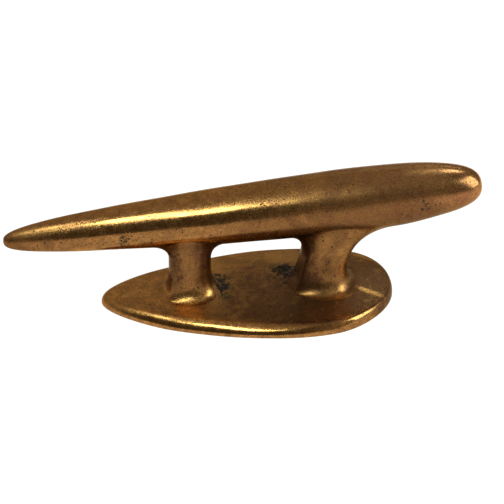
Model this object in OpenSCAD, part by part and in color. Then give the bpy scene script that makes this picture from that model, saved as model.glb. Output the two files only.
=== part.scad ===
// Horn cleat of cast and polished bronze, built up from a base plate, two posts and a tapering bar.
// Lengths are in millimetres. +X points to the blunt horn and +Z up. The origin is on the underside,
// below the middle of the bar.

/* [Bar] */
// Length of the bar along its own axis
bar_l = 254; // [220:1:300]
// Largest diameter of the bar
bar_d = 33.3; // [30:0.1:38]
// Height of the middle of the bar's axis over the underside
bar_mid_h = 52.5; // [50:0.1:66]
// Upward slope of the bar towards the blunt horn, in degrees
bar_slope = 4.65; // [2:0.05:6]
// Power of the slim horn's taper, larger for a more pointed horn
slim_taper = 0.354; // [0.3:0.002:0.42]
// Power that holds the bar's thickness towards the blunt horn
blunt_fullness = 6.4; // [5:0.1:8]
// Power of the blunt horn's round end
blunt_round = 0.36; // [0.3:0.01:0.5]

/* [Base plate] */
// Length of the base plate
base_l = 160.4; // [150:0.2:190]
// Largest width of the base plate
base_w = 85.8; // [76:0.2:100]
// Distance of the base plate's middle ahead of the bar's middle
base_x = 2; // [-3:0.1:5]
// Height of the crowned top at the rim
rim_h = 5.8; // [5.6:0.1:8]
// Rise of the crowned top from the rim to the middle
crown_h = 2.6; // [1:0.1:3.5]
// Radius of the rounded rim
rim_r = 4; // [1:0.1:5]
// Power of the outline's narrow end
narrow_power = 0.53; // [0.5:0.01:0.62]
// Power that sets how far along the outline is widest
widest_power = 2.78; // [2:0.01:3.2]
// Power of the outline's blunt end
wide_power = 0.47; // [0.45:0.01:0.6]

/* [Small post] */
// Place of the small post's axis along the part
small_x = -29.4; // [-34:0.1:-26]
// Diameter of the small post's neck
small_neck_d = 22.6; // [21:0.1:25]
// Distance that the small post's head stands ahead of its foot
small_lean = 0; // [-1:0.1:2]
// Width of the fillet round the small post's foot
small_foot_flare = 7; // [6:0.1:9]
// Height of the fillet round the small post's foot
small_foot_rise = 8; // [5:0.1:10]
// Width of the small post's head fillet towards the slim horn
small_head_back = 12.5; // [8:0.1:14]
// Width of the small post's head fillet towards the blunt horn
small_head_front = 10.5; // [5:0.1:12]
// Height of the small post's head fillet
small_head_drop = 8.8; // [4:0.1:9]

/* [Large post] */
// Place of the large post's axis along the part
large_x = 42.8; // [39:0.1:46]
// Diameter of the large post's neck
large_neck_d = 26; // [24:0.1:28]
// Distance that the large post's head stands ahead of its foot
large_lean = 3; // [0:0.1:4]
// Width of the fillet round the large post's foot
large_foot_flare = 8; // [6:0.1:9]
// Height of the fillet round the large post's foot
large_foot_rise = 10; // [6:0.1:12]
// Width of the large post's head fillet towards the slim horn
large_head_back = 13; // [6:0.1:14]
// Width of the large post's head fillet towards the blunt horn
large_head_front = 26; // [20:0.1:32]
// Height of the large post's head fillet towards the slim horn
large_head_drop = 12.5; // [5:0.1:13]
// Height of the large post's head fillet towards the blunt horn
large_sweep_drop = 19.5; // [12:0.1:22]

/* [Seats] */
// Height of the floor of the posts' round seats in the base plate
seat_floor_h = 5; // [4.4:0.1:5.4]
// Width of the head fillets at the sides of the bar
head_side = 1.4; // [1:0.1:2]
// Depth of the bar's pockets beyond the highest point of the head fillets
pocket_cover = 2; // [1.5:0.1:3]
// Gap all round between a post and its seat or pocket
seat_gap = 0.1; // [0.05:0.01:0.2]

/* [Fastenings] */
// Thread diameter of the tie studs and of the deck bolts, 3/8 inch
thread_d = 9.525; // [8:0.005:10]
// Gap between a stud or dowel and its hole, on the radius
stud_gap = 0.05; // [0.02:0.01:0.1]
// Depth of the tie studs' tapped holes in the bar
bar_thread_l = 12; // [9:0.5:13]
// Gap at the end of a stud in its blind hole
end_gap = 0.4; // [0.2:0.1:0.8]
// Outer diameter of the sleeve nuts
nut_d = 14; // [13:0.1:15]
// Diameter of the sleeve nuts' heads
nut_head_d = 18; // [17:0.1:19]
// Thickness of the sleeve nuts' heads
nut_head_t = 2; // [1.5:0.1:2.4]
// Depth of the sleeve nuts' heads below the underside
nut_sunk = 0.3; // [0.1:0.1:0.6]
// Depth of each of the two tapped holes in a sleeve nut
nut_thread_l = 11; // [8:0.5:12]
// Thickness of the web between a sleeve nut's two tapped holes
nut_web = 2; // [1:0.1:3]
// Gap between a sleeve nut or washer and its bore, on the radius
nut_gap = 0.2; // [0.1:0.05:0.4]
// Diameter of the spanner holes in a sleeve nut's head
spanner_hole_d = 1.8; // [1.2:0.1:2]
// Depth of the spanner holes
spanner_hole_l = 1.4; // [1:0.1:1.4]
// Thickness of the sealing washers
washer_t = 0.8; // [0.5:0.1:1]
// Diameter of the dowels
dowel_d = 3; // [2:0.1:3.2]
// Length of the dowels
dowel_l = 6.2; // [5:0.1:6.6]
// Distance of the dowels from the posts' axes
dowel_ring_r = 12; // [11.8:0.1:12.4]
// Depth of the dowels in the base plate
dowel_sunk = 3.2; // [2.4:0.1:3.4]

/* [Hidden] */

$fn = 64;
bronze = [0.62, 0.42, 0.18];
post_bronze = [0.56, 0.38, 0.17];
base_bronze = [0.50, 0.33, 0.15];
stud_bronze = [0.70, 0.52, 0.26];
nut_bronze = [0.74, 0.57, 0.30];
fibre = [0.45, 0.12, 0.08];

// Steps along the bar's profile, round the base plate and round the posts
bar_steps = 64;
outline_steps = 96;
round_steps = 48;
rim_steps = 5;
crown_rings = 7;
fillet_steps = 8;
// Step for the slope of a surface, and the turns of the search for a point on the bar
slope_step = 0.01;
search_turns = 6;
// Steps in the search for the largest value of a power curve
peak_steps = 200;
// Overrun of a cut past the face that it opens
cut = 1;
// Step that keeps a fillet's first ring inside the round foot below it
inset = 0.06;

nut_l = nut_web + 2 * nut_thread_l;
nut_top_h = nut_sunk + nut_l;
stud_bottom_h = nut_top_h - nut_thread_l + end_gap;
head_top_h = nut_sunk + nut_head_t;
washer_top_h = head_top_h + washer_t;
dowel_bottom_h = seat_floor_h - dowel_sunk;

// A power curve that is 0 at both ends of 0 to 1, and its largest value
function swell(u, a, c, b) = u <= 0 || u >= 1 ? 0 : pow(u, a) * pow(1 - pow(u, c), b);
function peak(a, c, b) = max([for (i = [1:peak_steps - 1]) swell(i / peak_steps, a, c, b)]);
bar_peak = peak(slim_taper, blunt_fullness, blunt_round);
base_peak = peak(narrow_power, widest_power, wide_power);
// Even steps round a half circle, which crowd the points towards both ends of 0 to 1
function crowded(i, n) = (1 - cos(180 * i / n)) / 2;

// Bar's radius at a share s of its length, from the slim end
function bar_r(s) = bar_d / 2 * swell(s, slim_taper, blunt_fullness, blunt_round) / bar_peak;
// Half of the bar's thickness, seen from the side, in the upright plane at y
function bar_half(s, y) = sqrt(max(pow(bar_r(s), 2) - y * y, 0));
// Share of the length at which the bar's lower side stands over x, y
function under_s(x, y, n) = n == 0 ? 0.5 + x / (bar_l * cos(bar_slope))
    : 0.5 + (x - bar_half(under_s(x, y, n - 1), y) * sin(bar_slope)) / (bar_l * cos(bar_slope));
// Height of the bar's lower side over x, y
function bar_under(x, y) = let (s = under_s(x, y, search_turns))
    bar_mid_h + (s - 0.5) * bar_l * sin(bar_slope) - bar_half(s, y) * cos(bar_slope);

// Half width of the base plate at x
function base_half(x) = base_w / 2 / base_peak
    * swell((x - base_x) / base_l + 0.5, narrow_power, widest_power, wide_power);
// Height of the crowned top, which falls to rim_h all along the outline
function base_top(x, y) = rim_h
    + crown_h * max(0, pow(base_half(x), 2) - y * y) / pow(base_w / 2, 2);

// Height of the lower (kind 0) or upper (kind 1) surface that a post meets, and its upright normal
function met(kind, x, y) = kind == 0 ? base_top(x, y) : bar_under(x, y);
function met_normal(kind, x, y) = [
    (met(kind, x - slope_step, y) - met(kind, x + slope_step, y)) / (2 * slope_step),
    (met(kind, x, y - slope_step) - met(kind, x, y + slope_step)) / (2 * slope_step),
    1];

// A post's sizes, in the order that the functions below read them
small = [small_x, small_neck_d / 2, small_lean, small_foot_flare, small_foot_rise,
         small_head_back, small_head_front, small_head_drop, small_head_drop];
large = [large_x, large_neck_d / 2, large_lean, large_foot_flare, large_foot_rise,
         large_head_back, large_head_front, large_head_drop, large_sweep_drop];
function foot_x(p) = p[0];
function neck_r(p) = p[1];
function head_x(p) = p[0] + p[2];
function foot_r(p) = p[1] + p[3];
function foot_rise(p) = p[4];
function head_back(p) = p[1] + p[5];
function head_front(p) = p[1] + p[6];
function back_drop(p) = p[7];
function front_drop(p) = p[8];

// A post's axis leans evenly from its foot to the bar
function lean_rate(p) = (head_x(p) - foot_x(p)) / (bar_under(head_x(p), 0) - rim_h);
function axis_x(p, z) = foot_x(p) + lean_rate(p) * (z - rim_h);
function neck_point(p, a, z) = [axis_x(p, z) + neck_r(p) * cos(a), neck_r(p) * sin(a), z];

// Outline of a post's head: a half ellipse forward and a half ellipse back, grown by a gap
function head_point(p, a, grow) =
    [head_x(p) + ((cos(a) > 0 ? head_front(p) : head_back(p)) + grow) * cos(a),
     (neck_r(p) + head_side + grow) * sin(a)];
function head_ring(p, grow) = [for (i = [0:round_steps - 1]) head_point(p, 360 * i / round_steps, grow)];
// Roof of the bar's pocket over the highest point of the head's fillet
function pocket_h(p) = pocket_cover + max([for (q = head_ring(p, 0)) bar_under(q[0], q[1])]);

// Height at which a neck line meets the plane that touches a surface at q
function corner_h(kind, p, a, q) = let (n = met_normal(kind, q[0], q[1]), g = neck_point(p, a, 0))
    ((q[0] - g[0]) * n[0] + (q[1] - g[1]) * n[1] + q[2]) / (1 + lean_rate(p) * n[0]);
// A fillet is the parabola that leaves the neck along its own line and lands on the surface at q
function fillet(p, a, corner, start, q, t) = (1 - t) * (1 - t) * neck_point(p, a, start)
    + 2 * t * (1 - t) * neck_point(p, a, corner) + t * t * q;
function foot_edge(p, a) = let (r = foot_r(p) - seat_gap - inset, x = foot_x(p) + r * cos(a), y = r * sin(a))
    [x, y, base_top(x, y)];
function head_edge(p, a) = let (q = head_point(p, a, -seat_gap)) [q[0], q[1], bar_under(q[0], q[1])];
function foot_fillet(p, a, t) = let (q = foot_edge(p, a), c = corner_h(0, p, a, q))
    fillet(p, a, c, c + foot_rise(p), q, t);
// The head fillet's drop grows smoothly towards the front
function head_drop(p, a) = back_drop(p) + (front_drop(p) - back_drop(p)) * pow(max(cos(a), 0), 2);
function head_fillet(p, a, t) = let (q = head_edge(p, a), c = corner_h(1, p, a, q))
    fillet(p, a, c, c - head_drop(p, a), q, t);

// Outline of the base plate, set in by a distance along its own normal
function outline_point(i) = let (x = base_x + (crowded(i, outline_steps / 2) - 0.5) * base_l)
    [x, (sin(360 * i / outline_steps) > 0 ? -1 : 1) * base_half(x)];
function inset_point(i, d) = let (along = outline_point(i + 1) - outline_point(i - 1))
    outline_point(i) + d / norm(along) * [-along[1], along[0]];

// A closed skin over rings of points, all with the same number of points, from the bottom ring to the top one
module skin(rings) {
    n = len(rings[0]);
    last = len(rings) - 1;
    polyhedron(
        points = [for (r = rings) each r],
        faces = concat(
            [[for (i = [0:n - 1]) i]],
            [[for (i = [n - 1:-1:0]) last * n + i]],
            [for (k = [0:last - 1], i = [0:n - 1]) each
                let (j = (i + 1) % n, a = k * n + i, b = k * n + j)
                [[a, a + n, b + n], [a, b + n, b]]]));
}

// A round bore or pin on a post's axis, between two heights
module upright(p, r, low, high) {
    translate([foot_x(p), 0, low]) cylinder(r = r, h = high - low);
}

// Tapering bar, turned about its own sloping axis
module bar_body() {
    translate([0, 0, bar_mid_h])
        rotate([0, 90 - bar_slope, 0])
            rotate_extrude()
                polygon([for (i = [0:bar_steps]) let (s = crowded(i, bar_steps))
                    [bar_r(s), (s - 0.5) * bar_l]]);
}

// Pocket and tapped blind hole for one post, cut into the bar from below
module bar_cuts(p) {
    translate([0, 0, rim_h])
        linear_extrude(height = pocket_h(p) - rim_h)
            polygon(head_ring(p, 0));
    upright(p, thread_d / 2, rim_h, pocket_h(p) + bar_thread_l);
}

module horn_bar() {
    color(bronze)
    difference() {
        bar_body();
        bar_cuts(small);
        bar_cuts(large);
    }
}

// Foot fillet, neck and head fillet in one skin, closed by a flat foot and a flat head
module post_body(p) {
    angles = [for (i = [0:round_steps - 1]) 360 * i / round_steps];
    skin(concat(
        [[for (a = angles) let (q = foot_edge(p, a)) [q[0], q[1], seat_floor_h + cut]]],
        [for (k = [fillet_steps:-1:0]) [for (a = angles) foot_fillet(p, a, k / fillet_steps)]],
        [for (k = [0:fillet_steps]) [for (a = angles) head_fillet(p, a, k / fillet_steps)]],
        [[for (a = angles) let (q = head_point(p, a, -seat_gap)) [q[0], q[1], pocket_h(p)]]]));
}

// Lowest point of a post's round foot edge
function foot_edge_h(p) = min([for (i = [0:round_steps - 1]) foot_edge(p, 360 * i / round_steps)[2]]);

// Dowel's or its hole's place: behind the small post's axis and ahead of the large post's
module at_dowel(p) {
    translate([foot_x(p) + dowel_ring_r * sign(foot_x(p)), 0, dowel_bottom_h]) children();
}

module post(p) {
    color(post_bronze)
    difference() {
        union() {
            upright(p, foot_r(p) - seat_gap, seat_floor_h, foot_edge_h(p) - inset);
            post_body(p);
        }
        upright(p, thread_d / 2 + nut_gap, seat_floor_h - cut, pocket_h(p) + cut);
        upright(p, nut_d / 2 + nut_gap, seat_floor_h - cut, nut_top_h + end_gap);
        at_dowel(p) cylinder(d = dowel_d + 2 * stud_gap, h = dowel_l + end_gap);
    }
}

module small_post() {
    post(small);
}

module large_post() {
    post(large);
}

// Crowned plate with a rounded rim, from a little below its underside to its top
module base_body() {
    all = [0:outline_steps - 1];
    edge = [for (i = all) inset_point(i, rim_r)];
    skin(concat(
        [[for (i = all) let (q = outline_point(i)) [q[0], q[1], -cut]]],
        [for (k = [0:rim_steps - 1]) let (t = 90 * k / rim_steps) [for (i = all)
            let (q = inset_point(i, rim_r * (1 - cos(t))))
            [q[0], q[1], base_top(q[0], q[1]) - rim_r * (1 - sin(t))]]],
        [for (k = [0:crown_rings - 1]) let (f = 1 - k / crown_rings) [for (i = all)
            let (x = base_x + (edge[i][0] - base_x) * f, y = edge[i][1] * f)
            [x, y, base_top(x, y)]]]));
}

// Round seat, through bore, counterbore for the nut and dowel hole for one post
module base_cuts(p) {
    upright(p, foot_r(p), seat_floor_h, rim_h + crown_h + cut);
    upright(p, nut_d / 2 + nut_gap, -cut, seat_floor_h + cut);
    upright(p, nut_head_d / 2 + nut_gap, -cut, washer_top_h);
    at_dowel(p) translate([0, 0, -end_gap]) cylinder(d = dowel_d + 2 * stud_gap, h = dowel_l);
}

module base_plate() {
    color(base_bronze)
    difference() {
        base_body();
        translate([base_x - base_l, -base_w, -2 * cut]) cube([2 * base_l, 2 * base_w, 2 * cut]);
        base_cuts(small);
        base_cuts(large);
    }
}

module tie_stud(p) {
    color(stud_bronze)
    upright(p, thread_d / 2 - stud_gap, stud_bottom_h, pocket_h(p) + bar_thread_l - end_gap);
}

module small_post_tie_stud() {
    tie_stud(small);
}

module large_post_tie_stud() {
    tie_stud(large);
}

// Headed sleeve nut: the stud's thread above the web, the deck bolt's thread below it
module sleeve_nut(p) {
    spanner_r = (nut_head_d + thread_d) / 4;
    color(nut_bronze)
    difference() {
        union() {
            upright(p, nut_d / 2, nut_sunk, nut_top_h);
            upright(p, nut_head_d / 2, nut_sunk, head_top_h);
        }
        upright(p, thread_d / 2, nut_sunk - cut, nut_sunk + nut_thread_l);
        upright(p, thread_d / 2, nut_top_h - nut_thread_l, nut_top_h + cut);
        for (side = [-1, 1])
            translate([foot_x(p), side * spanner_r, nut_sunk - cut])
                cylinder(d = spanner_hole_d, h = spanner_hole_l + cut);
    }
}

module small_post_sleeve_nut() {
    sleeve_nut(small);
}

module large_post_sleeve_nut() {
    sleeve_nut(large);
}

module nut_washer(p) {
    color(fibre)
    difference() {
        upright(p, nut_head_d / 2, head_top_h, washer_top_h);
        upright(p, nut_d / 2 + nut_gap, head_top_h - cut, washer_top_h + cut);
    }
}

module small_post_nut_washer() {
    nut_washer(small);
}

module large_post_nut_washer() {
    nut_washer(large);
}

module dowel(p) {
    color(stud_bronze)
    at_dowel(p) cylinder(d = dowel_d, h = dowel_l);
}

module small_post_dowel() {
    dowel(small);
}

module large_post_dowel() {
    dowel(large);
}

horn_bar();
small_post();
large_post();
base_plate();
small_post_tie_stud();
large_post_tie_stud();
small_post_sleeve_nut();
large_post_sleeve_nut();
small_post_nut_washer();
large_post_nut_washer();
small_post_dowel();
large_post_dowel();
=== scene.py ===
import bpy
import numpy as np
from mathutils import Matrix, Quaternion, Vector


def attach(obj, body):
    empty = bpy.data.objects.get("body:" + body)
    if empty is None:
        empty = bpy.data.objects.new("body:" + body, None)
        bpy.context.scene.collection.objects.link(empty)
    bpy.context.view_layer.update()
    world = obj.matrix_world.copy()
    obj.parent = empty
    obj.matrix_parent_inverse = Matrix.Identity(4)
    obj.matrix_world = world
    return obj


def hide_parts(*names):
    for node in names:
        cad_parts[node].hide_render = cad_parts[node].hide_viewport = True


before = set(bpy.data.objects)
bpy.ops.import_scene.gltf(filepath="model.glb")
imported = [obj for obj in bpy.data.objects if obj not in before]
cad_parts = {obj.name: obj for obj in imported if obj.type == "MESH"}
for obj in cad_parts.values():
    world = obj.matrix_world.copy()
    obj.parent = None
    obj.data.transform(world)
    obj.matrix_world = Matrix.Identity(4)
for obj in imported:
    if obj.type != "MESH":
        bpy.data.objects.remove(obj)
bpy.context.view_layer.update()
# Blender's unit is the metre, and sizes are written in millimetres
MM = 0.001

# Base plate
# The real one is an egg-shaped bronze casting with a crowned top and a hand-rounded rim. From above it
# has a round seat for each post, and from below a counterbored hole for each sleeve nut.

# Length, width and the x of the plate's middle, height of its rim, and what the crown adds to that
BASE_LENGTH, BASE_WIDTH, BASE_MIDDLE = 160.4 * MM, 85.8 * MM, 2 * MM
RIM_HEIGHT, CROWN_HEIGHT = 5.8 * MM, 2.6 * MM
# Powers of the curve that gives the egg its outline
EGG_RISE, EGG_FAR, EGG_FALL = 0.53, 2.78, 0.47
# How far in the rim is rounded, what wear adds at the front and the crisper blunt end lacks, and the share
# of the rim's height that the rounding takes up
RIM_ROUND, RIM_WORN, RIM_CRISP, RIM_CURVE = 4 * MM, 2.5 * MM, 1.5 * MM, 0.93
# What the slim end lacks in thickness, the top's swell round the feet, and the ends' swing to the back
SLIM_THINNER, SWELL, BLUNT_SWING, SLIM_SWING = 1.2 * MM, 0.9 * MM, 4.8 * MM, 3.2 * MM
# Place of each post's axis, radius of its foot, and radius at which the top's swell round it ends
SMALL_X, SMALL_FOOT, SMALL_SWELL_END = -29.4 * MM, 18.3 * MM, 26 * MM
LARGE_X, LARGE_FOOT, LARGE_SWELL_END = 42.8 * MM, 21 * MM, 30 * MM
# Height of the seats' floor, radius of the holes for a nut and for its head, and height of the head's hole
SEAT_FLOOR, NUT_HOLE, NUT_HEAD_HOLE, NUT_HEAD_ROOM = 5 * MM, 7.2 * MM, 9.2 * MM, 3.1 * MM
# Radius of a dowel's hole, its distance from the post's axis, how deep the dowel is sunk in the plate, its
# length, and the room left at each of its ends
DOWEL_HOLE, DOWEL_RING, DOWEL_SUNK, DOWEL_LENGTH = 1.55 * MM, 12 * MM, 3.2 * MM, 6.2 * MM
END_GAP = 0.4 * MM
# How far the cutter of a blind hole reaches past the face that it opens
PAST = 1 * MM
# Points round a post, its seat and its pocket
POST_POINTS = 160


def swell(share, rise, far, fall):
    """An outline's curve over the shares 0 to 1: the share to the power rise, times, to the power fall, one
    minus the share to the power far. It is scaled so that it peaks at 1."""
    whole = np.linspace(0, 1, 401)[1:-1]
    peak = (whole**rise * (1 - whole**far) ** fall).max()
    share = np.clip(share, 0, 1)
    return share**rise * (1 - share**far) ** fall / peak


def ramp(value, low, high):
    """A smooth step from 0 at low to 1 at high."""
    share = np.clip((value - low) / (high - low), 0, 1)
    return share * share * (3 - 2 * share)


def base_half(x):
    """Half width of the plate at x: half its width times the egg's curve, narrow towards the slim horn."""
    return BASE_WIDTH / 2 * swell((x - BASE_MIDDLE) / BASE_LENGTH + 0.5, EGG_RISE, EGG_FAR, EGG_FALL)


def base_top(x, y):
    """Height of the top: the rim's height plus a crown that falls with the square of y to the outline. The
    slim end is a little thinner than the rest, and the top swells softly towards each foot."""
    crown = CROWN_HEIGHT * np.maximum(base_half(x) ** 2 - y * y, 0) / (BASE_WIDTH / 2) ** 2
    thinner = SLIM_THINNER * ramp(-x, 44 * MM, 78 * MM)
    small_swell = 1 - ramp(np.hypot(x - SMALL_X, y), 10 * MM, SMALL_SWELL_END)
    large_swell = 1 - ramp(np.hypot(x - LARGE_X, y), 10 * MM, LARGE_SWELL_END)
    return RIM_HEIGHT - thinner + SWELL * (small_swell + large_swell) + crown


def hand_worn(points):
    """A hand-finished casting's slight waves: long sine waves that cross, at most a tenth of a millimetre
    along each axis."""
    x, y, z = np.moveaxis(points, -1, 0) / MM
    wave = np.stack([
        0.05 * np.sin(y / 9 + z / 13),
        0.06 * np.sin(x / 11 + z / 8 + 1) + 0.04 * np.sin(x / 5.3 - z / 9),
        0.05 * np.sin(x / 13 + y / 7 + 2) + 0.03 * np.sin(x / 6.1 - y / 8)], -1)
    return points + wave * MM


def skin(name, rings, closed=False):
    """Joins rings of equally many points into a closed mesh, with a point in the middle of each end ring,
    or with the last ring joined to the first. Rings run anticlockwise as seen from the last one."""
    rings = np.asarray(rings, float)
    count, around = rings.shape[:2]
    low = np.arange(count if closed else count - 1)[:, None] * around
    step = np.arange(around)[None]
    beside = (step + 1) % around
    high = (low + around) % (count * around)
    quads = np.stack([low + step, low + beside, high + beside, high + step], -1).reshape(-1, 4)
    points, faces = rings.reshape(-1, 3), quads.tolist()
    if not closed:
        points = np.concatenate([points, rings[0].mean(0)[None], rings[-1].mean(0)[None]])
        turn, after = step[0], beside[0]
        last, bottom, top = (count - 1) * around, count * around, count * around + 1
        faces += np.stack([after, turn, 0 * turn + bottom], -1).tolist()
        faces += np.stack([last + turn, last + after, 0 * turn + top], -1).tolist()
    mesh = bpy.data.meshes.new(name)
    mesh.from_pydata(points.tolist(), [], faces)
    mesh.validate()
    made = bpy.data.objects.new(name, mesh)
    bpy.context.scene.collection.objects.link(made)
    return made


def cut_away(piece, *cutters):
    """Cuts each closed cutter out of the piece for good, and removes the cutter."""
    for cutter in cutters:
        cut = piece.modifiers.new("cut", "BOOLEAN")
        cut.operation, cut.solver, cut.object = "DIFFERENCE", "EXACT", cutter
        depsgraph = bpy.context.evaluated_depsgraph_get()
        mesh = bpy.data.meshes.new_from_object(piece.evaluated_get(depsgraph))
        piece.modifiers.clear()
        piece.data = mesh
        bpy.data.objects.remove(cutter)
    piece.data.name = piece.name


def smooth(piece, sharpest=40):
    """Smooth shading, apart from edges that turn more than the sharpest angle in degrees."""
    piece.data.shade_smooth()
    piece.data.set_sharp_from_angle(angle=np.radians(sharpest))


def points_of(piece):
    """The piece's vertices as an array."""
    flat = np.empty(len(piece.data.vertices) * 3)
    piece.data.vertices.foreach_get("co", flat)
    return flat.reshape(-1, 3)


def paint(piece, name, values):
    """Keeps one number for each vertex, for the piece's material to read."""
    kept = piece.data.attributes.new(name, "FLOAT", "POINT")
    kept.data.foreach_set("value", np.asarray(values, np.float32))


def full_turn(count):
    """Equally spaced angles once round."""
    return np.linspace(0, 2 * np.pi, count, endpoint=False)


def circle(x, radius, height, around):
    """Points round an upright axis at x."""
    turn = full_turn(around)
    return np.stack([x + radius * np.cos(turn), radius * np.sin(turn), height + 0 * turn], -1)


def foot_ring(x, radius):
    """A post's foot edge, a circle laid on the crowned top."""
    ring = circle(x, radius, 0, POST_POINTS)
    ring[:, 2] = base_top(ring[:, 0], ring[:, 1])
    return ring


def base_rings(around=480, rim_steps=18, top_steps=72):
    """Rings of the plate's outline: over the rim on a quarter of an ellipse, set in along the outline's
    normal, then shrinking over the crown almost to its middle. The front of the rim is worn rounder than
    the back, the blunt end is crisper, and both ends of the outline swing a little to the back."""
    turn = full_turn(around)
    edge_x = BASE_MIDDLE - np.cos(turn) / 2 * BASE_LENGTH
    edge = np.stack([edge_x, -np.sign(np.sin(turn)) * base_half(edge_x)], -1)
    along = np.roll(edge, -1, 0) - np.roll(edge, 1, 0)
    inward = np.stack([-along[:, 1], along[:, 0]], -1) / np.linalg.norm(along, axis=1)[:, None]
    worn = ramp(-edge[:, 1], 10 * MM, 34 * MM) * (1 - ramp(edge_x, 5 * MM, 40 * MM))
    inset = (RIM_ROUND + RIM_WORN * worn - RIM_CRISP * ramp(edge_x, 36 * MM, 60 * MM))[:, None]
    flat = [(edge, 0 * edge_x)]
    for quarter in np.linspace(0, np.pi / 2, rim_steps):
        at = edge + inward * inset * (1 - np.cos(quarter))
        flat.append((at, base_top(at[:, 0], at[:, 1]) * (1 - RIM_CURVE * (1 - np.sin(quarter)))))
    rim = flat[-1][0]
    for share in np.linspace(1, 0.004, top_steps)[1:]:
        at = np.stack([BASE_MIDDLE + (rim[:, 0] - BASE_MIDDLE) * share, rim[:, 1] * share], -1)
        flat.append((at, base_top(at[:, 0], at[:, 1])))
    rings = np.stack([np.concatenate([at, height[:, None]], 1) for at, height in flat])
    rings[..., 1] += BLUNT_SWING * ramp(rings[..., 0], 44 * MM, 82 * MM)
    rings[..., 1] += SLIM_SWING * ramp(-rings[..., 0], 40 * MM, 84 * MM)
    rings = hand_worn(rings)
    rings[0, :, 2] = 0
    return rings


def seat_cutter(x, foot):
    """All that one post and its nut take out of the plate, from below upwards: the hole for the nut's
    head, the narrower hole for the nut, and the seat. It reaches past the plate's underside and top."""
    edge = hand_worn(foot_ring(x, foot))
    over, under = edge.copy(), edge.copy()
    below, above = -2 * MM, 14 * MM
    over[:, 2], under[:, 2] = above, SEAT_FLOOR
    steps = ((NUT_HEAD_HOLE, below), (NUT_HEAD_HOLE, NUT_HEAD_ROOM), (NUT_HOLE, NUT_HEAD_ROOM),
             (NUT_HOLE, SEAT_FLOOR))
    holes = [circle(x, radius, height, POST_POINTS) for radius, height in steps]
    return skin("seat_cutter", [*holes, under, over])


def dowel_cutter(x, low, high, around=24):
    """The hole for a post's dowel, on the side of the post's axis where its horn is."""
    at = x + DOWEL_RING * np.sign(x)
    return skin("dowel_cutter", [circle(at, DOWEL_HOLE, height, around) for height in (low, high)])


base = skin("base_casting", base_rings())
dowel_foot = SEAT_FLOOR - DOWEL_SUNK
cut_away(base, seat_cutter(SMALL_X, SMALL_FOOT), seat_cutter(LARGE_X, LARGE_FOOT),
         dowel_cutter(SMALL_X, dowel_foot - END_GAP, SEAT_FLOOR + PAST),
         dowel_cutter(LARGE_X, dowel_foot - END_GAP, SEAT_FLOOR + PAST))
smooth(base)


def add(tree, kind, inputs=(), **settings):
    """One node with its settings. An input is given by name or number, as a value or as the socket that
    feeds it."""
    made = tree.nodes.new("ShaderNode" + kind)
    for name, value in settings.items():
        setattr(made, name, value)
    for key, value in dict(inputs).items():
        if isinstance(value, bpy.types.NodeSocket):
            tree.links.new(value, made.inputs[key])
        else:
            made.inputs[key].default_value = value
    return made


def maths(tree, operation, first, second=0.0, third=0.0, clamp=False):
    """The result of one Math node."""
    inputs = {0: first, 1: second, 2: third}
    return add(tree, "Math", inputs, operation=operation, use_clamp=clamp).outputs[0]


def spread(tree, value, low, high, start=0.0, end=1.0):
    """The value moved smoothly from the range low to high into the range start to end."""
    inputs = {"Value": value, "From Min": low, "From Max": high, "To Min": start, "To Max": end}
    return add(tree, "MapRange", inputs, interpolation_type="SMOOTHSTEP").outputs[0]


def blend(tree, share, first, second, kind="MIX"):
    """Two colours mixed by a share."""
    inputs = {0: share, 6: first, 7: second}
    return add(tree, "Mix", inputs, data_type="RGBA", blend_type=kind).outputs[2]


def noise(tree, vector, scale, detail=4.0, rough=0.55, bend=0.0):
    """A noise value from 0 to 1."""
    inputs = {"Vector": vector, "Scale": scale, "Detail": detail, "Roughness": rough, "Distortion": bend}
    return add(tree, "TexNoise", inputs).outputs["Fac"]


def group(name, inputs, outputs):
    """An empty shader node group, the sockets that give its inputs, and those that take its results."""
    tree = bpy.data.node_groups.new(name, "ShaderNodeTree")
    for side, names in (("INPUT", inputs), ("OUTPUT", outputs)):
        for socket, kind in names.items():
            tree.interface.new_socket(socket, in_out=side, socket_type="NodeSocket" + kind)
    return tree, tree.nodes.new("NodeGroupInput").outputs, tree.nodes.new("NodeGroupOutput").inputs


def connect(tree, made, sockets):
    """Links each made value to the socket that has its name."""
    for name, value in made.items():
        tree.links.new(value, sockets[name])


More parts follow.
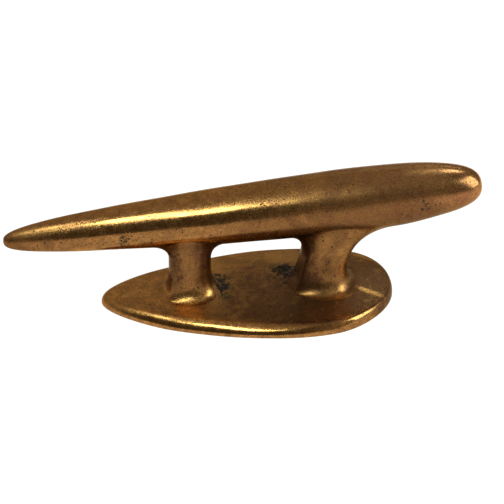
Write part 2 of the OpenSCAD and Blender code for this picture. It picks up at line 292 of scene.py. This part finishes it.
def bronze_group():
    """Old bronze: clean golden metal where it is rubbed, brown patina over the rest in patches and in a
    fine mottle, small dark pits, and a surface that is smoother where it is clean."""
    tree, given, out = group(
        "old bronze",
        {"Vector": "Vector", "Metal": "Color", "Patina": "Color", "Cover": "Float", "Gloss": "Float",
         "Pits": "Float"},
        {"Color": "Color", "Roughness": "Float", "Metallic": "Float", "Height": "Float"})
    at = given["Vector"]
    patches = noise(tree, at, 42, 5, 0.62, 0.8)
    mottle = noise(tree, at, 260, 6, 0.66, 0.4)
    grain = noise(tree, at, 1400, 3, 0.65)

    # Brown patina in patches and a mottle, redder here and there
    cover = maths(tree, "ADD", spread(tree, patches, 0.40, 0.70, 0.0, 0.6), given["Cover"])
    cover = maths(tree, "MULTIPLY", cover, spread(tree, mottle, 0.3, 0.65, 0.45, 1.25), clamp=True)
    colour = blend(tree, cover, given["Metal"], given["Patina"])
    red = spread(tree, noise(tree, at, 75, 4, 0.6, 0.5), 0.55, 0.72, 0.0, 0.5)
    colour = blend(tree, maths(tree, "MULTIPLY", red, cover), colour, (0.20, 0.062, 0.03, 1))

    # Lighter and darker flecks over all
    coarse, fine = spread(tree, mottle, 0.28, 0.72, 0.68, 1.28), spread(tree, grain, 0.3, 0.7, 0.68, 1.3)
    shade = maths(tree, "MULTIPLY", coarse, fine)
    grey = add(tree, "CombineColor", {0: shade, 1: shade, 2: shade}).outputs[0]
    colour = blend(tree, 1.0, colour, grey, "MULTIPLY")

    # Dark pits in some places, and smaller specks in others
    cells = add(tree, "TexVoronoi", {"Vector": at, "Scale": 430.0}).outputs["Distance"]
    specks = add(tree, "TexVoronoi", {"Vector": at, "Scale": 1100.0}).outputs["Distance"]
    where = spread(tree, noise(tree, at, 85, 4, 0.6), 0.44, 0.6)
    pit = maths(tree, "MULTIPLY", spread(tree, cells, 0.12, 0.28, 1.0, 0.0), where)
    dotted = spread(tree, mottle, 0.42, 0.6)
    speck = maths(tree, "MULTIPLY", spread(tree, specks, 0.14, 0.3, 0.7, 0.0), dotted)
    pit = maths(tree, "MULTIPLY", maths(tree, "MAXIMUM", pit, speck), given["Pits"], clamp=True)
    colour = blend(tree, maths(tree, "MULTIPLY", pit, 0.85), colour, (0.022, 0.013, 0.008, 1))

    # Roughness from patina, grain and pits, and the height of grain, mottle and pits for the bump
    rough = maths(tree, "MULTIPLY_ADD", cover, 0.07, given["Gloss"])
    rough = maths(tree, "ADD", rough, spread(tree, grain, 0.2, 0.8, -0.04, 0.06))
    rough = maths(tree, "ADD", rough, maths(tree, "MULTIPLY", pit, 0.3))
    metallic = maths(tree, "MULTIPLY_ADD", cover, -0.12, 1.0)
    height = maths(tree, "MULTIPLY_ADD", grain, 0.25, maths(tree, "MULTIPLY", mottle, 0.5))
    height = maths(tree, "SUBTRACT", height, maths(tree, "MULTIPLY", pit, 0.6))
    connect(tree, {"Color": colour, "Roughness": rough, "Metallic": metallic, "Height": height}, out)
    return tree


def grime_group():
    """Black and green dirt where polish never reaches: a painted share, broken up by noise, hides the
    metal."""
    tree, given, out = group(
        "corner dirt",
        {"Vector": "Vector", "Color": "Color", "Roughness": "Float", "Metallic": "Float", "Share": "Float"},
        {"Color": "Color", "Roughness": "Float", "Metallic": "Float", "Coat": "Float"})
    crumbs = noise(tree, given["Vector"], 640, 8, 0.8, 0.6)
    clumps = noise(tree, given["Vector"], 150, 4, 0.6, 0.5)
    broken = maths(tree, "ADD", maths(tree, "MULTIPLY_ADD", clumps, 0.6, crumbs), -0.8)
    share = maths(tree, "MULTIPLY_ADD", broken, 2.6, given["Share"])
    allowed = spread(tree, given["Share"], 0.02, 0.3)
    share = maths(tree, "MULTIPLY", spread(tree, share, 0.38, 0.66), allowed)
    green = spread(tree, noise(tree, given["Vector"], 230, 3), 0.5, 0.62)
    dirt = blend(tree, green, (0.007, 0.005, 0.004, 1), (0.014, 0.017, 0.014, 1))
    colour = blend(tree, share, given["Color"], dirt)
    rough = maths(tree, "MULTIPLY_ADD", share, 0.7, given["Roughness"], clamp=True)
    clean = maths(tree, "SUBTRACT", 1.0, share)
    metallic = maths(tree, "MULTIPLY", given["Metallic"], clean)
    coat = maths(tree, "MULTIPLY", clean, 0.06)
    connect(tree, {"Color": colour, "Roughness": rough, "Metallic": metallic, "Coat": coat}, out)
    return tree


old_bronze, corner_dirt = bronze_group(), grime_group()


def blank(name):
    """A new material, its nodes, and the Object coordinates that its patterns follow."""
    material = bpy.data.materials.new(name)
    material.use_nodes = True
    return material, material.node_tree, add(material.node_tree, "TexCoord").outputs["Object"]


def bumped(tree, height, strength, distance):
    """Gives the material's own shader a bump of this height."""
    bump = add(tree, "Bump", {"Height": height, "Strength": strength, "Distance": distance})
    tree.links.new(bump.outputs[0], tree.nodes["Principled BSDF"].inputs["Normal"])


def bronze(name, metal, patina, cover, gloss, pits, bump):
    """A bronze finish of the two shared groups, led by the piece's own brown, haze and dirt attributes.
    Cover is the patina's share where nothing is painted, gloss the clean metal's roughness, pits the
    strength of the dark pits, and bump that of the surface's grain."""
    material, tree, at = blank(name)
    dirt, brown, haze = (add(tree, "Attribute", attribute_name=painted).outputs["Fac"]
                         for painted in ("dirt", "brown", "haze"))
    clean = add(tree, "Group", {
        "Vector": at, "Metal": (*metal, 1), "Patina": (*patina, 1), "Pits": pits,
        "Gloss": maths(tree, "MULTIPLY_ADD", haze, 0.22, gloss),
        "Cover": maths(tree, "MULTIPLY_ADD", brown, 0.85, cover)}, node_tree=old_bronze).outputs
    dirty = add(tree, "Group", {
        "Vector": at, "Share": dirt, "Color": clean["Color"], "Roughness": clean["Roughness"],
        "Metallic": clean["Metallic"]}, node_tree=corner_dirt).outputs
    shader = tree.nodes["Principled BSDF"]
    shader.inputs["Coat Roughness"].default_value = 0.25
    shader.inputs["Specular IOR Level"].default_value = 0.3
    shader.inputs["Specular Tint"].default_value = (0.82, 0.66, 0.48, 1)
    connect(tree, {"Base Color": dirty["Color"], "Roughness": dirty["Roughness"],
                   "Metallic": dirty["Metallic"], "Coat Weight": dirty["Coat"]}, shader.inputs)
    roughened = maths(tree, "MULTIPLY_ADD", haze, 1.4, 0.4)
    bumped(tree, maths(tree, "MULTIPLY", clean["Height"], roughened), bump, 0.2 * MM)
    return material


def patches(points, *spots):
    """The most of several soft round patches, each given by its middle and radius, in millimetres, and its
    strength. A patch is full to 0.3 of its radius and fades to nothing at its edge."""
    total = np.zeros(len(points))
    for x, y, z, radius, strength in spots:
        away = np.linalg.norm(points / MM - (x, y, z), axis=1)
        total = np.maximum(total, strength * (1 - ramp(away, 0.3 * radius, radius)))
    return total


def finish(piece, material, body, replaced):
    """Gives the piece its material and its place in the model."""
    piece.data.materials.clear()
    piece.data.materials.append(material)
    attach(piece, body)
    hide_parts(replaced)


def plate_wear_and_painted_light(points):
    """How brown and how hazy the plate is. It is dark between and beside the posts, a painted shade as
    well as patina, lighter behind them, a painted reflection, and golden at the slim end and round the rim.
    A bent golden, glossier stripe from the large post to the blunt end is a painted highlight. The brown
    reaches further out beside the large post, and the haze is thinner at the blunt end."""
    x, y = points[:, 0], points[:, 1]
    inside = 1 - np.abs(y) / np.maximum(base_half(x), 10 * MM)
    within = ramp(inside, 0.03, 0.22)
    further = ramp(x, -5 * MM, 25 * MM) * (1 - ramp(x, 44 * MM, 56 * MM))
    browned = ramp(inside, 0.03 - 0.01 * further, 0.22 - 0.12 * further)
    # Behind the posts the brown thins, a painted reflection, and between and beside them it deepens,
    # painted shade as well as patina
    back = ramp(y, 4 * MM, 24 * MM) * ramp(-x, -45 * MM, -25 * MM)
    middle = 1.35 * ramp(x, -34 * MM, 4 * MM) * (1 - 0.55 * back)

    # The stripe, a painted highlight, lies along a bent line, widens towards the blunt end and fades at
    # both its ends
    bend = y + 8.7 * MM + 0.62 * (x - 61 * MM) + 0.012 / MM * (x - 67 * MM) ** 2
    stripe = 1 - ramp(np.abs(bend), 0.8 * MM, 3.2 * MM + 0.1 * (x - 61 * MM))
    stripe *= ramp(x, 58 * MM, 61 * MM) * (1 - ramp(x, 74 * MM, 77 * MM))
    hazy = within * (1.1 - 0.75 * ramp(x, 46 * MM, 58 * MM))
    return middle * browned - 0.85 * stripe, hazy - 0.35 * stripe


def plate_dirt(points):
    """Dirt in the corners where the posts stand, on the sides that face each other."""
    return patches(
        points, (-14, 0, 8, 12, 0.62), (-12, 8, 8, 10, 0.5), (-14, -9, 8, 8, 0.45), (23, 12, 8, 13, 0.65),
        (18, 6, 8, 9, 0.5), (20, -4, 8, 8, 0.45), (29, 4, 13, 11, 0.55), (58, -4, 8, 4, 0.5),
        (-18, -30, 7, 5, 0.35))


# Colours of the rubbed metal and of the brown on it
METAL, PATINA = (0.46, 0.210, 0.060), (0.108, 0.042, 0.015)
base_points = points_of(base)
paint(base, "dirt", plate_dirt(base_points))
# The plate's brown and haze carry painted shade, a painted reflection and a painted highlight
for name, values in zip(("brown", "haze"), plate_wear_and_painted_light(base_points)):
    paint(base, name, values)
base_bronze = bronze("base bronze", METAL, PATINA, cover=-0.25, gloss=0.14, pits=0.8, bump=0.3)
finish(base, base_bronze, "root", "base_plate")

# Posts
# Two bronze castings that stand in the base plate's seats. Each foot spreads onto the crowned top in a
# hollow curve, and each head spreads into the bar, the large one with a long sweep under the blunt horn.

# The bar's height is that of its middle, and it slopes up towards the blunt horn
BAR_LENGTH, BAR_DIAMETER, BAR_HEIGHT, BAR_SLOPE = 254 * MM, 33.3 * MM, 52.5 * MM, np.radians(4.65)
# Powers of the curve that gives the bar its taper
BAR_RISE, BAR_FAR, BAR_FALL = 0.354, 6.4, 0.36
# How far a pocket's roof lies above the head's highest edge, radius of the bore round the tie stud, and
# height at which that bore widens for the nut
POCKET_COVER, STUD_ROOM, NUT_ROOM = 2 * MM, 4.9625 * MM, 24.7 * MM
# How far a head spreads to each side
HEAD_SIDE = 1.4 * MM


def bar_radius(share):
    """The bar's radius at a share of its length from the slim end: half the diameter times a curve that
    tapers slowly to the slim end and closes bluntly at the other."""
    return BAR_DIAMETER / 2 * swell(share, BAR_RISE, BAR_FAR, BAR_FALL)


def belly(share):
    """How much deeper than a half circle the bar's lower side is, as a share of its radius: a little less
    towards the horns' ends and a little more between the posts."""
    return 0.04 - 0.07 * ramp(0.45 - share, 0.03, 0.2) - 0.085 * ramp(share, 0.82, 0.92)


def below_axis(share, y):
    """How far the bar's lower side lies from its axis at a share of its length and y to the side: the
    circle's half height there, stretched by the belly."""
    return np.sqrt(np.maximum(bar_radius(share) ** 2 - y * y, 0)) * (1 + belly(share))


def bar_under(x, y):
    """Height of the bar's lower side over x, y, found by stepping to the section that stands over the
    point, since the sections lean with the bar."""
    share = 0.5 + x / (BAR_LENGTH * np.cos(BAR_SLOPE))
    for _ in range(6):
        lean = below_axis(share, y) * np.sin(BAR_SLOPE)
        share = 0.5 + (x - lean) / (BAR_LENGTH * np.cos(BAR_SLOPE))
    axis = BAR_HEIGHT + (share - 0.5) * BAR_LENGTH * np.sin(BAR_SLOPE)
    return axis - below_axis(share, y) * np.cos(BAR_SLOPE)


def head_ring(post):
    """Outline of a post's head in the bar's underside: half an ellipse forward and half one back."""
    turn = full_turn(POST_POINTS)
    reach = np.where(np.cos(turn) > 0, post["front"], post["back"]) + post["neck"]
    x, y = post["x"] + post["lean"] + reach * np.cos(turn), (post["neck"] + HEAD_SIDE) * np.sin(turn)
    return np.stack([x, y, bar_under(x, y)], -1)


def squared(turn, power):
    """How far a round neck that was filed a little square stands out at each angle, as a share of its
    radius: the superellipse of the power, round at 2 and squarer above."""
    return (np.abs(np.cos(turn)) ** power + np.abs(np.sin(turn)) ** power) ** (-1 / power)


def post_rings(post, fillet_steps=30, neck_steps=26):
    """The post's outside from foot to head: a nearly round neck that leans evenly, squarer low down and
    most at the front left, and at each end a fillet. The fillet is the parabola that leaves the neck along
    its own line and lands on the other surface along that surface's slope."""
    turn = full_turn(POST_POINTS)
    front_left = 2 * np.maximum(-np.cos(turn), 0) * np.maximum(-np.sin(turn), 0)
    top = bar_under(np.array(post["x"] + post["lean"]), np.array(0.0))
    rate = (post["lean"] - post["shift"]) / (top - RIM_HEIGHT)

    def neck(height):
        power = 2.5 + (0.4 + 3 * front_left) * (1 - ramp(height, 9 * MM, 26 * MM))
        neck_out = post["neck"] * squared(turn, power)
        axis_x = post["x"] + post["shift"] + rate * (height - RIM_HEIGHT)
        return np.stack([axis_x + neck_out * np.cos(turn), neck_out * np.sin(turn) + 0 * height,
                         height + 0 * turn], -1)

    def fillet(surface, edge, rise):
        step = 0.01 * MM
        x, y = edge[:, 0], edge[:, 1]
        tilt_x = (surface(x - step, y) - surface(x + step, y)) / (2 * step)
        tilt_y = (surface(x, y - step) - surface(x, y + step)) / (2 * step)
        line = neck(0 * turn)
        corner = (x - line[:, 0]) * tilt_x + (y - line[:, 1]) * tilt_y + edge[:, 2]
        corner = corner / (1 + rate * tilt_x)
        share = np.linspace(0, 1, fillet_steps + 1)[:, None, None]
        leaving, turning = (1 - share) ** 2, 2 * share * (1 - share)
        return leaving * neck(corner + rise) + turning * neck(corner) + share**2 * edge

    foot = foot_ring(post["x"], post["foot"])
    forward = np.maximum(np.cos(turn), 0) ** 2
    drop = post["drop"] + (post["sweep"] - post["drop"]) * forward
    lower = fillet(base_top, foot, post["rise"] + post["right"] * forward)[::-1]
    upper = fillet(bar_under, head_ring(post), -drop)
    share = np.linspace(0, 1, neck_steps + 1)[1:-1, None, None]
    return np.concatenate([lower, lower[-1] * (1 - share) + upper[0] * share, upper])


def post_casting(name, post):
    """The worn outside, closed by the flat foot in its seat, the flat head in its pocket and the stepped
    bore for tie stud and nut. The dowel's hole is cut into the foot."""
    outside = hand_worn(post_rings(post))
    foot, head = outside[0].copy(), outside[-1].copy()
    foot[:, 2], head[:, 2] = SEAT_FLOOR, post["roof"]
    steps = ((STUD_ROOM, post["roof"]), (STUD_ROOM, NUT_ROOM), (NUT_HOLE, NUT_ROOM), (NUT_HOLE, SEAT_FLOOR))
    bore = [circle(post["x"], radius, height, POST_POINTS) for radius, height in steps]
    made = skin(name, [foot, *outside, head, *bore], closed=True)
    cut_away(made, dowel_cutter(post["x"], SEAT_FLOOR - PAST, dowel_foot + DOWEL_LENGTH + END_GAP))
    smooth(made)
    return made


# Shift and lean are how far the neck stands off the post's axis at the foot and at the head, towards the
# blunt horn. Rise is the height of the foot's fillet, and right what it gains on that side. Back and front
# are how far the head spreads past the neck towards the slim horn and the blunt horn. Drop is how far the
# head's fillet comes down, and sweep the same on the blunt horn's side. Brown is the neck's patina.
small = {"x": SMALL_X, "neck": 11.3 * MM, "foot": SMALL_FOOT, "shift": -0.8 * MM, "lean": 0.0,
         "rise": 11 * MM, "right": 5 * MM, "back": 12.5 * MM, "front": 10.5 * MM,
         "drop": 8.8 * MM, "sweep": 8.8 * MM, "brown": 0.45}
large = {"x": LARGE_X, "neck": 13 * MM, "foot": LARGE_FOOT, "shift": -3 * MM, "lean": 3 * MM,
         "rise": 13 * MM, "right": 2 * MM, "back": 13 * MM, "front": 26 * MM,
         "drop": 12.5 * MM, "sweep": 19.5 * MM, "brown": 0.25}
for post in (small, large):
    post["roof"] = head_ring(post)[:, 2].max() + POCKET_COVER
small_post = post_casting("small_post_casting", small)
large_post = post_casting("large_post_casting", large)
# A neck is browner, which is painted shade, on the side that faces the other post and on the left,
# and it is rubbed golden where the front of its foot curves up
for piece, post in ((small_post, small), (large_post, large)):
    points = points_of(piece)
    inner = ramp((points[:, 0] - post["x"]) * -np.sign(post["x"]) / post["neck"], -0.1, 0.9)
    left = ramp((post["x"] - points[:, 0]) / post["neck"], 0.3, 0.95)
    rise = ramp(points[:, 2], 9 * MM, 17 * MM)
    worn = ramp(-points[:, 1], 0, post["foot"]) * (1 - ramp(np.abs(points[:, 2] - 9 * MM), 2 * MM, 6 * MM))
    paint(piece, "dirt", plate_dirt(points))
    # inner and left paint shade into the neck's brown
    brown = plate_wear_and_painted_light(points)[0] * (1 - rise) + (post["brown"] + 0.7 * inner + 0.45 * left) * rise
    paint(piece, "brown", brown * (1 - 0.9 * worn))
    paint(piece, "haze", 0.5 - 0.15 * rise)
post_bronze = bronze("post bronze", METAL, PATINA, cover=0.0, gloss=0.16, pits=1.1, bump=0.6)
finish(small_post, post_bronze, "root", "small_post")
finish(large_post, post_bronze, "root", "large_post")

# Bar
# One tapering bronze casting, round in section, with a slim horn and a blunt horn. It sits down over the
# posts' heads in two pockets and is held by the tie studs. Hands and lines have kept its back bright.


def bar_rings(around=216, along=400):
    """The bar's sections, circles of its radius that stand square to the sloping axis, with the lower half
    stretched by the belly, and with steps that crowd towards the two ends."""
    share = (1 - np.cos(np.pi * (np.arange(along) + 0.5) / along)) / 2
    turn = full_turn(around)[None]
    radius, run = bar_radius(share)[:, None], ((share - 0.5) * BAR_LENGTH)[:, None]
    out = radius * np.sin(turn)
    up = -radius * np.cos(turn) * (1 + belly(share)[:, None] * (np.cos(turn) > 0))
    rings = np.stack([run * np.cos(BAR_SLOPE) - up * np.sin(BAR_SLOPE), -out,
                      BAR_HEIGHT + run * np.sin(BAR_SLOPE) + up * np.cos(BAR_SLOPE)], -1)
    return hand_worn(rings)


def pocket_cutter(post):
    """A post's pocket, as wide as its head and cut from well below the bar, and above it the stud's blind
    hole, of the thread's nominal radius."""
    head = hand_worn(head_ring(post))
    low, roof = head.copy(), head.copy()
    low[:, 2], roof[:, 2] = 20 * MM, post["roof"]
    thread, depth = 4.7625 * MM, 12 * MM
    heights = post["roof"], post["roof"] + depth
    hole = [circle(post["x"], thread, height, POST_POINTS) for height in heights]
    return skin("pocket_cutter", [low, roof, *hole])


bar = skin("bar_casting", bar_rings())
cut_away(bar, pocket_cutter(small), pocket_cutter(large))
smooth(bar)
bar_points = points_of(bar)
paint(bar, "dirt", patches(
    bar_points, (-50, -12, 44, 9, 0.36), (-62, -12, 45, 10, 0.34), (-74, -11, 47, 8, 0.28),
    (90, -15.5, 58, 14, 0.29), (99, -14, 56, 11, 0.27), (84, -9, 73, 12, 0.21), (100, -9, 72, 12, 0.21)))
# Browner and hazier from the middle to the blunt horn and at the slim horn's end, but with no haze on the
# very end of the blunt horn
run = bar_points[:, 0] / MM
paint(bar, "brown", 0.35 * ramp(run, -25, 10) + 0.65 * ramp(run, 10, 80) + 0.35 * ramp(-run, 88, 112))
paint(bar, "haze", 0.8 * ramp(-run, 85, 118) + 0.6 * ramp(run, -20, 50) * (1 - ramp(run, 92, 112)))
# The bar's brown is paler than that of the posts and the plate
BAR_PATINA = (0.20, 0.080, 0.028)
bar_bronze = bronze("bar bronze", METAL, BAR_PATINA, cover=0.0, gloss=0.14, pits=1.0, bump=0.4)
finish(bar, bar_bronze, "root", "horn_bar")

# Tie studs, sleeve nuts, washers and dowels
# Bronze rod and turned bronze nuts hold the bar down on the posts and the posts in the base plate. A red
# fibre washer seals under each nut's head, and a dowel keeps each post from turning. All sit out of sight.


def turned(name, colour, roughness, ridges):
    """Lathe-turned metal: fine rings across the axis in its bump, as a sine of the height times ridges,
    and light tarnish in its colour."""
    material, tree, at = blank(name)
    height = add(tree, "SeparateXYZ", {0: at}).outputs["Z"]
    rings = maths(tree, "SINE", maths(tree, "MULTIPLY", height, ridges))
    tarnish = noise(tree, at, 300, 5)
    shader = tree.nodes["Principled BSDF"]
    shader.inputs["Metallic"].default_value = 1
    dark = tuple(0.6 * part for part in colour)
    tarnished = blend(tree, spread(tree, tarnish, 0.35, 0.7), (*colour, 1), (*dark, 1))
    rough = spread(tree, tarnish, 0.3, 0.7, roughness, roughness + 0.15)
    connect(tree, {"Base Color": tarnished, "Roughness": rough}, shader.inputs)
    bumped(tree, rings, 0.3, 0.05 * MM)
    return material


def fibre_finish():
    """Pressed red fibre: matt, with short darker flecks."""
    material, tree, at = blank("red fibre")
    flecks = noise(tree, at, 1200, 4, 0.7)
    red = blend(tree, spread(tree, flecks, 0.35, 0.65), (0.30, 0.05, 0.03, 1), (0.16, 0.03, 0.02, 1))
    rough = spread(tree, flecks, 0.3, 0.7, 0.6, 0.8)
    connect(tree, {"Base Color": red, "Roughness": rough}, tree.nodes["Principled BSDF"].inputs)
    bumped(tree, flecks, 0.4, 0.1 * MM)
    return material


stud_finish = turned("turned stud", (0.50, 0.29, 0.11), roughness=0.25, ridges=9000)
nut_finish = turned("turned nut", (0.55, 0.34, 0.14), roughness=0.2, ridges=14000)
washer_finish = fibre_finish()
for side in ("small", "large"):
    for node, material, slot in ((f"{side}_post_tie_stud", stud_finish, "stud_bronze"),
                                 (f"{side}_post_sleeve_nut", nut_finish, "nut_bronze"),
                                 (f"{side}_post_nut_washer", washer_finish, "fibre"),
                                 (f"{side}_post_dowel", stud_finish, "stud_bronze")):
        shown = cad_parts[node]
        shown.data.materials.clear()
        shown.data.materials.append(material)

# Floor, studio and camera
# A pale table whose front edge shows in the metal, in a dim room. A large lamp hangs high in front, a
# small one high on the left and another behind on the right. A window stands on the right, and a narrow
# strip lamp behind. The camera sees white wherever there is no object.

TABLE_EDGE, FLOOR_REACH = -370 * MM, 4000 * MM
LAMP_COLOUR = (0.78, 1.0, 0.95)


def floor_finish():
    """Nearly white to the camera, and lit besides as a pale floor, so that a soft shadow stays. In the
    metal it shows a dark front beyond the table's edge, and a painted pool of light on the right."""
    material, tree, at = blank("pale floor")
    ray = add(tree, "LightPath").outputs
    place = add(tree, "SeparateXYZ", {0: at}).outputs
    table = spread(tree, place["Y"], TABLE_EDGE - 3 * MM, TABLE_EDGE + 3 * MM, 0.12, 0.80)
    # A painted pool of light on the table's right, seen only in the metal
    table = maths(tree, "ADD", table, spread(tree, place["X"], 100 * MM, 220 * MM))
    mirrored = maths(tree, "MAXIMUM", ray["Is Glossy Ray"], ray["Is Transmission Ray"])
    plain = maths(tree, "SUBTRACT", 1.0, mirrored)
    strength = maths(tree, "MULTIPLY_ADD", mirrored, table, maths(tree, "MULTIPLY", plain, 1.16))
    white = add(tree, "Emission", {"Color": (1, 1, 1, 1), "Strength": strength}).outputs[0]
    lit = add(tree, "BsdfDiffuse", {"Color": (0.85, 0.85, 0.85, 1)}).outputs[0]
    seen = maths(tree, "MAXIMUM", maths(tree, "MULTIPLY", ray["Is Camera Ray"], 0.8), mirrored)
    both = add(tree, "MixShader", {0: seen, 1: lit, 2: white}).outputs[0]
    tree.links.new(both, tree.nodes["Material Output"].inputs["Surface"])
    return material


mesh = bpy.data.meshes.new("floor")
corners = [(-1, -1), (1, -1), (1, 1), (-1, 1)]
mesh.from_pydata([(x * FLOOR_REACH, y * FLOOR_REACH, 0) for x, y in corners], [], [(0, 1, 2, 3)])
floor = bpy.data.objects.new("floor", mesh)
floor.data.materials.append(floor_finish())
bpy.context.scene.collection.objects.link(floor)


def studio():
    """The surroundings by direction: a warm light, dim in front and on the left, stronger behind, overhead
    and on the right, and plain white to the camera."""
    world = bpy.data.worlds.new("studio")
    bpy.context.scene.world = world
    world.use_nodes = True
    tree = world.node_tree
    ray = add(tree, "LightPath").outputs
    way = add(tree, "SeparateXYZ", {0: add(tree, "TexCoord").outputs["Generated"]}).outputs
    behind = spread(tree, way["Y"], -0.25, 0.25)
    above = spread(tree, way["Z"], 0.72, 0.95)
    beside = maths(tree, "MULTIPLY", spread(tree, way["X"], 0.12, 0.45), 0.6)
    far = maths(tree, "MAXIMUM", maths(tree, "MAXIMUM", behind, above), beside)
    light = maths(tree, "MULTIPLY_ADD", far, 0.29, 0.09)
    camera_white = maths(tree, "MAXIMUM", light, ray["Is Camera Ray"])
    shader = tree.nodes["Background"]
    plain = add(tree, "CombineColor", {0: 1.0, 1: 0.93, 2: 0.84}).outputs[0]
    tree.links.new(blend(tree, ray["Is Camera Ray"], plain, (1, 1, 1, 1)), shader.inputs["Color"])
    tree.links.new(camera_white, shader.inputs["Strength"])


studio()


def lamp(name, place, aim, wide, tall, radiance, turn=0):
    """A soft rectangular lamp at a place, in metres, that faces a point and is turned about its own axis
    by degrees. Its power is 4 times radiance times area, so that it is as bright all over as the radiance
    says."""
    data = bpy.data.lights.new(name, "AREA")
    data.shape, data.size, data.size_y = "RECTANGLE", wide, tall
    data.energy, data.color = 4 * radiance * wide * tall, LAMP_COLOUR
    made = bpy.data.objects.new(name, data)
    made.location = place
    made.rotation_mode = "QUATERNION"
    facing = (Vector(aim) - Vector(place)).to_track_quat("-Z", "Y")
    made.rotation_quaternion = facing @ Quaternion((0, 0, 1), np.radians(turn))
    bpy.context.scene.collection.objects.link(made)


CLEAT = (0, 0, 0.03)
lamp("overhead_softbox", (-0.27, -0.70, 1.05), (-0.27, -0.701, 0.05), wide=0.21, tall=0.76, radiance=10.5,
     turn=18)
lamp("overhead_left_lamp", (-0.55, -0.08, 0.95), CLEAT, wide=0.25, tall=0.25, radiance=6.5)
lamp("right_window", (1.01, -0.23, 0.50), CLEAT, wide=0.60, tall=0.74, radiance=6.5)
lamp("back_right_lamp", (0.56, 0.39, 0.92), CLEAT, wide=0.20, tall=0.20, radiance=14)
lamp("back_strip", (0.378, 0.842, 0.627), (0.067, -0.012, 0.007), wide=0.50, tall=0.03, radiance=7)

# The camera stands a little to the left and looks down at the aim from the distance
TURN, LIFT, DISTANCE = np.radians(-5.94), np.radians(29.97), 639.8 * MM
AIM = Vector((3.92 * MM, 0, 28.14 * MM))
camera = bpy.data.objects.new("camera", bpy.data.cameras.new("camera"))
away = Vector((np.sin(TURN) * np.cos(LIFT), -np.cos(TURN) * np.cos(LIFT), np.sin(LIFT)))
camera.data.lens, camera.data.sensor_width = 85, 36
camera.location = AIM + away * DISTANCE
camera.rotation_mode = "QUATERNION"
camera.rotation_quaternion = (-away).to_track_quat("-Z", "Y")
camera.data.clip_start, camera.data.clip_end = 0.01, 50
bpy.context.scene.collection.objects.link(camera)
bpy.context.scene.camera = camera
bpy.context.scene.view_settings.view_transform = "Standard"
